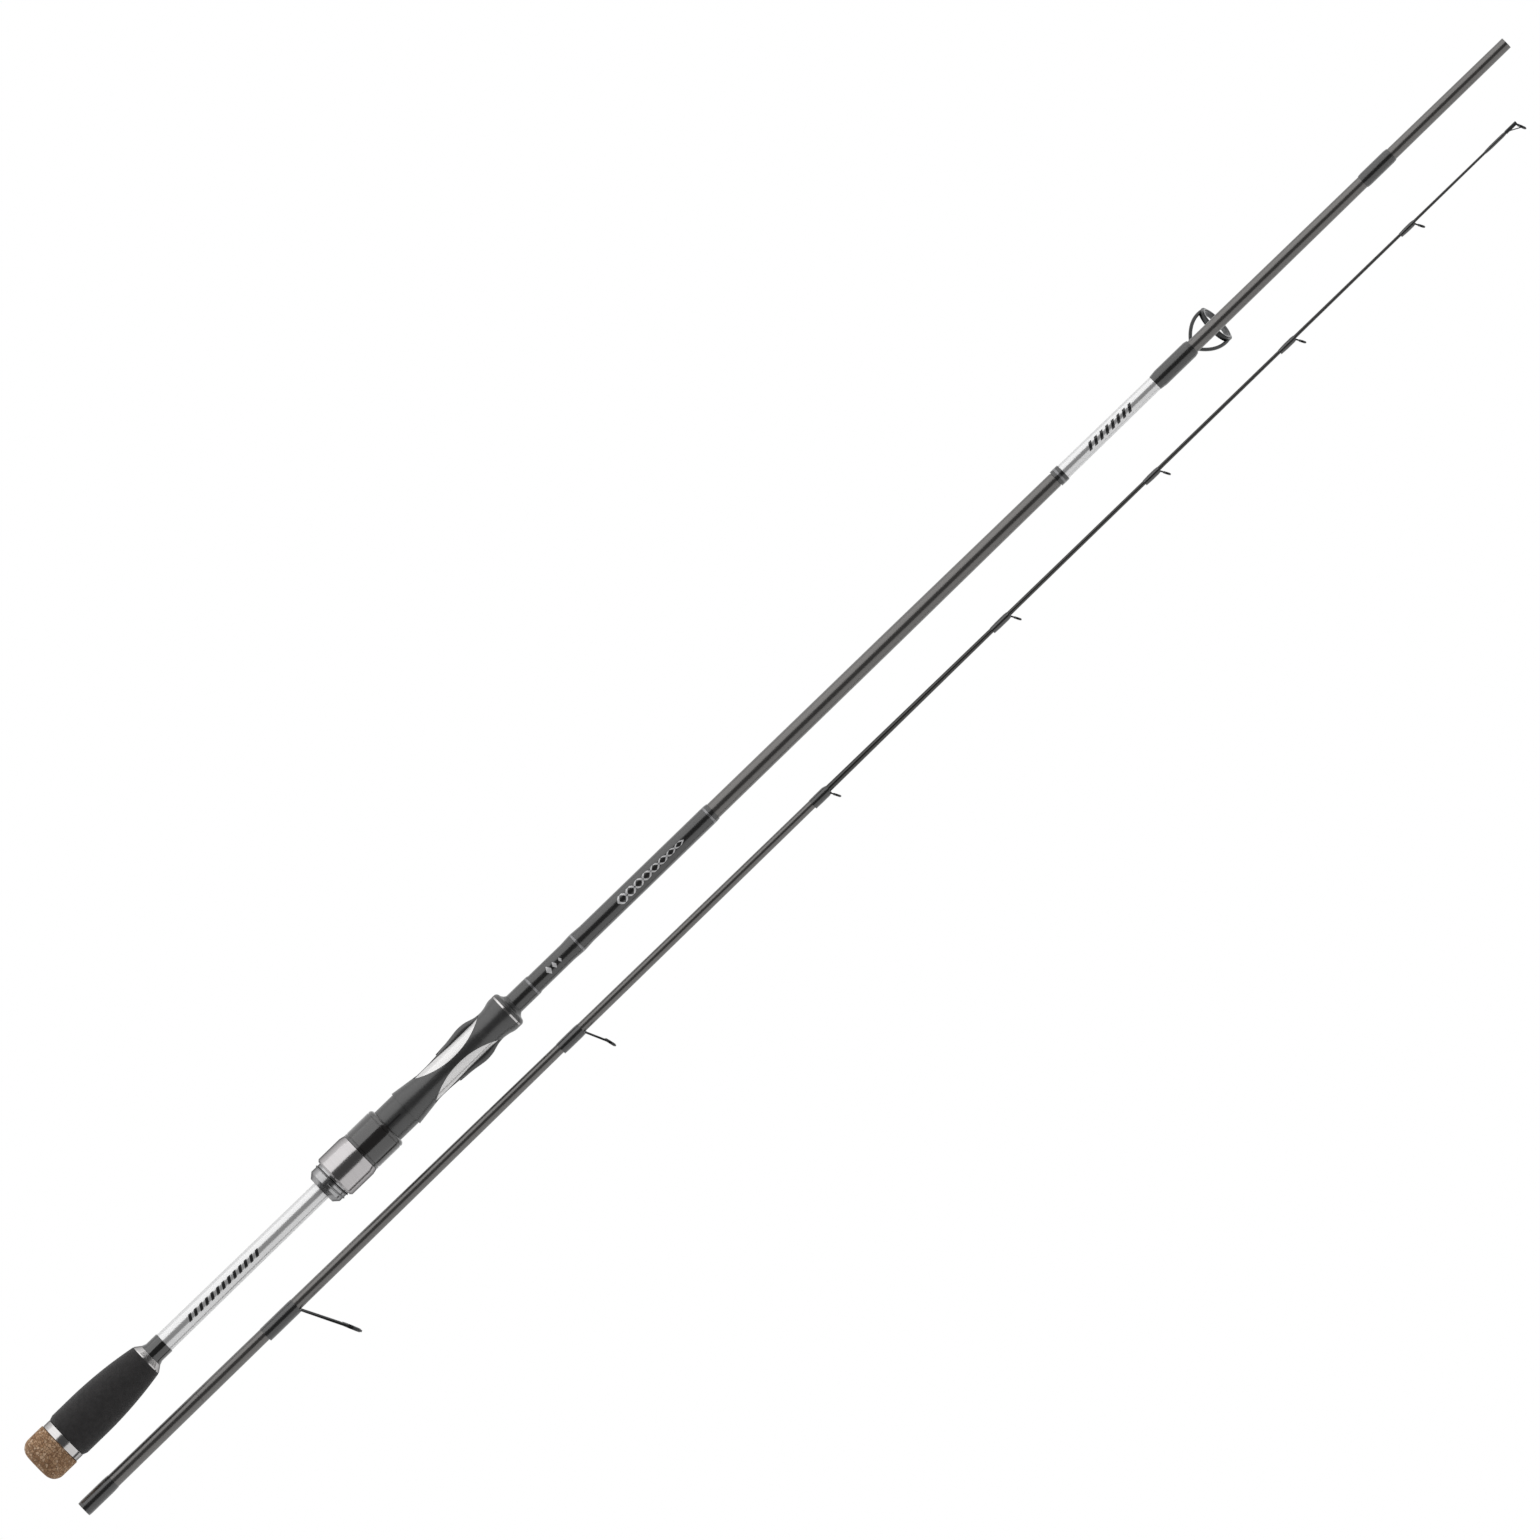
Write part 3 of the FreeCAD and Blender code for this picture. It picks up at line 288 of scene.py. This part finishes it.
    arbor = look("arbor", (0.55, 0.52, 0.45), 0.9)
    arbor.vary_color(arbor.noise(1500.0, 4.0), 0.85, 1.15)

    hood = look("hood", (0.012, 0.010, 0.010), 0.18, coat=1.0, coat_rough=0.05, specular=1.0)
    hood.soft_edges(0.45)
    hood.vary_color(hood.noise(600.0, 3.0), 0.85, 1.2)
    hood.vary_rough(hood.noise(260.0, 4.0), 0.04)

    wrap = look("wrap", (0.0065, 0.0065, 0.0065), 0.30, coat=1.0, coat_rough=0.05, specular=0.9)
    wrap.vary_color(wrap.bands(0.26 * MM, 0.4), 0.55, 1.7)
    wrap.bump(wrap.bands(0.26 * MM, 0.4), 0.035)
    smooth = wrap.add("ShaderNodeBump")
    smooth.inputs["Distance"].default_value = 0.03 * MM
    wrap.join(wrap.noise(260.0, 2.0), smooth.inputs["Height"])
    wrap.join(smooth.outputs[0], wrap.shader.inputs["Coat Normal"])

    band = look("trim_band", (0.30, 0.30, 0.31), 0.34, metal=0.85, coat=1.0, coat_rough=0.06)
    band.vary_color(band.bands(0.24 * MM, 0.2), 0.45, 1.2)
    band.bump(band.bands(0.24 * MM, 0.2), 0.03)

    gun = look("guide_frame", (0.050, 0.052, 0.053), 0.26, metal=0.9, coat=0.15, coat_rough=0.1)
    gun.soft_edges(0.18)
    gun.vary_color(gun.noise(1200.0, 4.0), 0.82, 1.2)
    gun.vary_rough(gun.noise(700.0, 4.0), 0.06)

    ring = look("guide_ring", (0.050, 0.053, 0.056), 0.10, metal=0.4, coat=1.0, coat_rough=0.03)
    ring.vary_color(ring.noise(1500.0, 3.0), 0.88, 1.15)
    ring.vary_rough(ring.noise(900.0, 3.0), 0.03)

    ink = look("dark_mark", (0.012, 0.012, 0.013), 0.35, coat=0.7)
    ink.vary_color(ink.noise(4000.0, 2.0), 0.8, 1.3)
    silver = look("silver_mark", (0.80, 0.80, 0.81), 0.40, metal=0.25, coat=0.5)
    silver.vary_color(silver.noise(6000.0, 2.0), 0.85, 1.1)
    return looks


# ---- shapes ----

def section_axis(node):
    """Y and Z of the axis of the section that a round node lies on."""
    low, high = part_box(node)
    return (low.y + high.y) / 2, (low.z + high.z) / 2


def profile(node):
    """Outside of a round node: its (x, radius) stations, and the bore radius at each end."""
    y, z = section_axis(node)
    mesh = NODES[node].data
    around = [Vector((v.co.y - y, v.co.z - z)) for v in mesh.vertices]
    outside = {}
    for face in mesh.polygons:
        middle = sum((around[v] for v in face.vertices), Vector((0.0, 0.0)))
        if middle.dot(face.normal.yz) > 0.02 * middle.length:  # leans outwards
            for v in face.vertices:
                x = round(mesh.vertices[v].co.x, 6)
                outside[x] = max(outside.get(x, 0.0), around[v].length)
    outline = sorted(outside.items())
    ends = [min(around[v.index].length for v in mesh.vertices if abs(v.co.x - x) < 1e-6)
            for x in (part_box(node)[0].x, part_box(node)[1].x)]
    return outline, ends[0], ends[1]


def new_piece(name, points, faces, slot, smooth=True):
    mesh = bpy.data.meshes.new(name)
    mesh.from_pydata(points, [], faces)
    shell = bmesh.new()
    shell.from_mesh(mesh)
    bmesh.ops.recalc_face_normals(shell, faces=shell.faces)
    shell.to_mesh(mesh)
    shell.free()
    for face in mesh.polygons:
        face.use_smooth = smooth
    piece = bpy.data.objects.new(name, mesh)
    bpy.context.scene.collection.objects.link(piece)
    piece.data.materials.append(LOOKS[slot].material)
    return piece


def sharpen(piece, degrees):
    """Marks the edges that turn more than this as sharp."""
    shell = bmesh.new()
    shell.from_mesh(piece.data)
    for edge in shell.edges:
        edge.smooth = len(edge.link_faces) == 2 and edge.calc_face_angle(0.0) < math.radians(degrees)
    shell.to_mesh(piece.data)
    shell.free()


def lathe(name, loop, axis, slot):
    """A ring-shaped piece from a closed loop of (x, radius). A radius of 0 is a point on the axis."""
    y, z = axis
    points, rows, faces = [], [], []
    for x, radius in loop:
        if radius < SAME_POINT:
            rows.append([len(points)] * SEGMENTS)
            points.append((x, y, z))
            continue
        rows.append(list(range(len(points), len(points) + SEGMENTS)))
        for step in range(SEGMENTS):
            turn = 2 * math.pi * step / SEGMENTS
            points.append((x, y + radius * math.cos(turn), z + radius * math.sin(turn)))
    for near, far in zip(rows, rows[1:] + rows[:1]):
        for step in range(SEGMENTS):
            following = (step + 1) % SEGMENTS
            corners = [near[step], near[following], far[following], far[step]]
            corners = list(dict.fromkeys(corners))
            if len(corners) > 2:
                faces.append(corners)
    return new_piece(name, points, faces, slot)


def round_edges(piece):
    rounding = piece.modifiers.new("edges", "BEVEL")
    rounding.width = EDGE_ROUNDING
    rounding.segments = 3
    rounding.limit_method = "ANGLE"
    rounding.angle_limit = EDGE_ANGLE
    rounding.harden_normals = True


def turned(node, body, slot):
    """A smooth turned piece that takes the place of a round node."""
    outline, rear_bore, front_bore = profile(node)
    rear, front = outline[0][0], outline[-1][0]
    solid_rear = outline[0][1] - rear_bore < THINNEST_WALL
    solid_front = outline[-1][1] - front_bore < THINNEST_WALL
    if solid_rear and solid_front:
        loop = [(rear, 0.0)] + outline + [(front, 0.0)]
    elif solid_rear:
        # The butt cap: closed at the rear, with the blank's seat in front of its floor.
        floor = rear + CAP_FLOOR
        loop = [(rear, 0.0)] + outline + [(front, front_bore), (floor, front_bore), (floor, 0.0)]
    else:
        loop = outline + [(front, front_bore), (rear, rear_bore)]
    if node == "socket_lip":
        # Ends just short of the wrap, which is on another body.
        loop = [(min(x, front - FACE_GAP), radius) for x, radius in loop]
    loop = [p for n, p in enumerate(loop) if n == 0 or math.dist(p, loop[n - 1]) > SAME_POINT]
    piece = lathe(f"{node}_finish", loop, section_axis(node), slot)
    round_edges(piece)
    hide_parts(node)
    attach(piece, body)


def window_rail(name, side):
    """Rounded rail on the ledge outside a window of the seat, against the core."""
    points = [v.co for v in NODES["seat_body"].data.vertices]
    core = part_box("seat_core")[1].y
    ledge = max(p.z for p in points if SEAT_WIDEST[0] < p.x < SEAT_WIDEST[1] and p.y > core)
    rim = {}
    for p in points:
        if abs(p.z - ledge) < 1e-6 and p.y * side > core and SEAT_WIDEST[0] - RAIL_REACH < p.x:
            x = round(p.x, 5)
            rim[x] = max(rim.get(x, 0.0), p.y * side)
    corners, faces = [], []
    for x, outer in sorted(rim.items()):
        rise = RAIL_HEIGHT * min(1.0, (outer - core) / RAIL_FULL_WIDTH)
        inner = math.sqrt(core ** 2 - (ledge + rise) ** 2) - RAIL_SUNK
        for n in range(RAIL_ROWS):
            lean = math.pi / 2 * n / (RAIL_ROWS - 1)
            across = inner + (outer - inner) * math.sin(lean)
            corners.append((x, side * across, ledge + rise * math.cos(lean)))
        corners += [(x, side * outer, ledge - RAIL_SUNK), (x, side * inner, ledge - RAIL_SUNK)]
    around = RAIL_ROWS + 2
    for first in range(0, len(corners) - around, around):
        for n in range(around):
            near, far = first + n, first + (n + 1) % around
            faces.append((near, far, far + around, near + around))
    faces += [tuple(range(around)), tuple(range(len(corners) - around, len(corners)))]
    rail = new_piece(name, corners, faces, "seat")
    sharpen(rail, 50)
    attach(rail, "butt")


def keep(node, slot):
    """A CAD node that shows as it is, in its finished material."""
    mesh = NODES[node].data
    mesh.materials.clear()
    mesh.materials.append(LOOKS[slot].material)


# ---- printed ornaments ----

def thread_line(name, node, slot, rear, front):
    """A thin coloured band of thread about a round piece, from rear to front in millimetres."""
    outer = max(radius for _, radius in profile(node)[0])
    low, high = outer - THREAD_DEPTH, outer + PRINT_FILM
    loop = [(rear * MM, low), (rear * MM, high), (front * MM, high), (front * MM, low)]
    piece = lathe(name, loop, section_axis(node), slot)
    sharpen(piece, 50)
    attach(piece, "butt")


def radius_at(outline, x):
    """Outside radius of an outline at a station."""
    for (near, first), (far, second) in zip(outline, outline[1:]):
        if near <= x <= far:
            return first + (second - first) * (x - near) / max(far - near, 1e-9)
    return outline[-1][1]


def printed(name, node, strokes, slot, outline=None):
    """A print on the top of a round piece.

    A stroke is (x, height, width in x) points, in millimetres.
    """
    y, z = section_axis(node) if outline is None else (0.0, 0.0)
    outline = outline or profile(node)[0]
    points, faces = [], []
    for stroke in strokes:
        first = len(points)
        for x, height, width in stroke:
            base = radius_at(outline, x * MM)
            turn = height * MM / base
            for radius in (base - PRINT_FILM, base + PRINT_FILM):
                across, up = radius * math.sin(turn), radius * math.cos(turn)
                for side in (-0.5, 0.5):
                    points.append(((x + side * width) * MM, y + across, z + up))
        for step in range(len(stroke) - 1):
            a = first + 4 * step
            for low, high in ((0, 1), (1, 3), (3, 2), (2, 0)):
                faces.append((a + low, a + high, a + 4 + high, a + 4 + low))
        end = first + 4 * (len(stroke) - 1)
        faces += [(first, first + 2, first + 3, first + 1), (end, end + 1, end + 3, end + 2)]
    piece = new_piece(name, points, faces, slot, smooth=False)
    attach(piece, "butt")


def rows_across(half, steps):
    """Heights from -half to half, with this many steps on each side of 0."""
    return [half * (n / steps - 1) for n in range(2 * steps + 1)]


def level_bar(middle, half, length):
    """One bar along the rod."""
    return [[(middle, row, length) for row in rows_across(half, 3)]]


def slanted_bars(rear, front, half, count, lean):
    """Evenly spaced bars that lean forward, each as wide as the gap beside it."""
    pitch = (front - rear) / count
    strokes = []
    for n in range(count):
        middle = rear + pitch * (n + 0.4)
        strokes.append([(middle + lean * row / half, row, pitch * 0.5) for row in rows_across(half, 5)])
    return strokes


def diamonds(rear, half, count, pitch):
    """A row of diamonds, the first one largest."""
    strokes = []
    for n in range(count):
        tall = half * (1 - 0.22 * n)
        strokes.append([(rear + pitch * n, row, max(0.02, 1.3 * (tall - abs(row))))
                        for row in rows_across(tall, 5)])
    return strokes


def waves(rear, front, half, turns, line):
    """Two fine lines that cross and fade to the front."""
    steps = 40 * turns
    strokes = []
    for side in (1, -1):
        stroke = []
        for n in range(steps + 1):
            part = n / steps
            height = side * half * (1 - 0.6 * part) * math.sin(2 * math.pi * turns * part)
            stroke.append((rear + (front - rear) * part, height, line))
        strokes.append(stroke)
    return strokes


# ---- lights, floor and camera ----

def seen_or_not(tree, seen, unseen):
    """The first shader where it is looked at directly, and the second where it only lights things."""
    path = tree.nodes.new("ShaderNodeLightPath")
    switch = tree.nodes.new("ShaderNodeMixShader")
    tree.links.new(path.outputs["Is Camera Ray"], switch.inputs["Fac"])
    tree.links.new(unseen.outputs[0], switch.inputs[1])
    tree.links.new(seen.outputs[0], switch.inputs[2])
    return switch.outputs[0]


def make_world():
    world = bpy.data.worlds.new("studio")
    bpy.context.scene.world = world
    world.use_nodes = True
    tree = world.node_tree
    dim = tree.nodes["Background"]
    dim.inputs["Color"].default_value = (1.0, 1.0, 1.0, 1.0)
    dim.inputs["Strength"].default_value = ROOM_LIGHT
    bright = tree.nodes.new("ShaderNodeBackground")
    bright.inputs["Color"].default_value = (1.0, 1.0, 1.0, 1.0)
    tree.links.new(seen_or_not(tree, bright, dim), tree.nodes["World Output"].inputs["Surface"])


def make_panel(name, side, radiance):
    """A long soft panel beside the rod, leaning over it from the floor up to near the zenith."""
    foot = Vector((0.0, PANEL_FOOT[0] * side, PANEL_FOOT[1]))
    head = Vector((0.0, PANEL_HEAD[0] * side, PANEL_HEAD[1]))
    slope = (head - foot).length
    light = bpy.data.lights.new(name, "AREA")
    light.shape = "RECTANGLE"
    light.size, light.size_y = PANEL_WIDTH, slope
    light.energy = radiance * math.pi * PANEL_WIDTH * slope
    panel = bpy.data.objects.new(name, light)
    panel.location = (foot + head) / 2 + Vector((VIEW_CENTRE.x, 0.0, 0.0))
    facing = Vector((side, 0.0, 0.0)).cross(head - foot)
    panel.rotation_euler = facing.to_track_quat("-Z", "Y").to_euler()
    panel.visible_camera = False
    bpy.context.scene.collection.objects.link(panel)


def make_floor():
    low = cad_box[0][2] - FLOOR_GAP
    corners = [(VIEW_CENTRE.x + a * FLOOR_HALF, VIEW_CENTRE.y + b * FLOOR_HALF, low)
               for a, b in ((-1, -1), (1, -1), (1, 1), (-1, 1))]
    look = Look("floor", (0.9, 0.9, 0.9), 0.9, specular=0.1)
    look.shader.inputs["Emission Color"].default_value = (1.0, 1.0, 1.0, 1.0)
    look.shader.inputs["Emission Strength"].default_value = FLOOR_GLOW
    look.vary_color(look.noise(3.0, 2.0), 0.97, 1.0)
    glow = look.add("ShaderNodeEmission")
    glow.inputs["Strength"].default_value = 1.0
    output = look.tree.nodes["Material Output"]
    look.join(seen_or_not(look.tree, glow, look.shader), output.inputs["Surface"])
    look.material.cycles.emission_sampling = "NONE"
    LOOKS["floor"] = look
    new_piece("floor", corners, [(0, 1, 2, 3)], "floor")


def make_camera():
    camera = bpy.data.objects.new("camera", bpy.data.cameras.new("camera"))
    camera.data.type = "PERSP"
    camera.data.lens = LENS
    camera.data.sensor_width = SENSOR
    camera.data.clip_start = 0.05
    camera.data.clip_end = 50.0
    height = VIEW_WIDTH * LENS / SENSOR
    camera.location = VIEW_CENTRE + Vector((0.0, 0.0, height))
    camera.rotation_euler = (0.0, 0.0, -SECTION_HEADING)
    bpy.context.scene.collection.objects.link(camera)
    bpy.context.scene.camera = camera


LOOKS = make_looks()
SLOTS = {part["node"]: part["material_slot"] for part in frame["record"]["subparts"]}
make_camera()
make_world()
make_floor()
for name, side, radiance in (("side_light_left", 1, 1.15), ("side_light_right", -1, 0.72)):
    make_panel(name, side, radiance)
bpy.context.scene.view_settings.view_transform = "Standard"

TURNED = {
    "butt": {
        "butt_blank": "blank", "cork_butt_cap": "cork", "rear_winding_ring": "ring_metal",
        "rear_grip_foam": "foam", "front_winding_ring": "ring_metal", "grip_trumpet": "trumpet",
        "handle_sleeve": "white_sleeve", "seat_core": "core", "nose_trim_ring": "ring_metal",
        "nose_cap": "seat", "handle_wrap_1": "wrap", "handle_wrap_2": "wrap", "handle_wrap_3": "wrap",
        "handle_wrap_4": "wrap", "trim_band_1": "trim_band", "trim_band_2": "trim_band",
        "trim_band_3": "trim_band", "forward_trim_wrap": "wrap", "forward_sleeve": "white_sleeve",
        "butt_joint_wrap": "wrap"},
    "nut": {"lock_nut": "nut_metal"},
    "carrier": {"socket_lip": "wrap"},
    "joint_wrap": {"socket_wrap": "wrap"},
    "tip": {"socket_tube": "blank", "tip_blank": "blank", "solid_tip": "blank_dark"},
}
for body, pieces in TURNED.items():
    for node, slot in pieces.items():
        turned(node, body, slot)

shown = {node for pieces in TURNED.values() for node in pieces}
for node in NODES:
    if node not in shown:
        keep(node, SLOTS[node])

for name, side in (("window_rail_left", 1), ("window_rail_right", -1)):
    window_rail(name, side)

thread_line("forward_thread_line", "forward_trim_wrap", "trim_band", rear=722.8, front=724.0)

barrel = max(v.co.z for v in NODES["seat_body"].data.vertices if abs(v.co.x - BARREL_REAR) < 0.1 * MM)
printed("barrel_line", "seat_body", level_bar(middle=253.0, half=0.45, length=9.0), "dark_mark",
        [(0.0, barrel), (1.0, barrel)])
printed("handle_print", "handle_sleeve",
        slanted_bars(rear=107.3, front=158.3, half=1.75, count=13, lean=1.0), "dark_mark")
printed("forward_print", "forward_sleeve",
        slanted_bars(rear=743.6, front=775.2, half=2.05, count=8, lean=1.3), "dark_mark")
printed("wrap_diamonds", "handle_wrap_2",
        diamonds(rear=362.3, half=2.5, count=3, pitch=3.9), "silver_mark")
printed("wrap_waves", "handle_wrap_3",
        waves(rear=411.7, front=457.0, half=2.7, turns=4, line=1.4), "silver_mark")
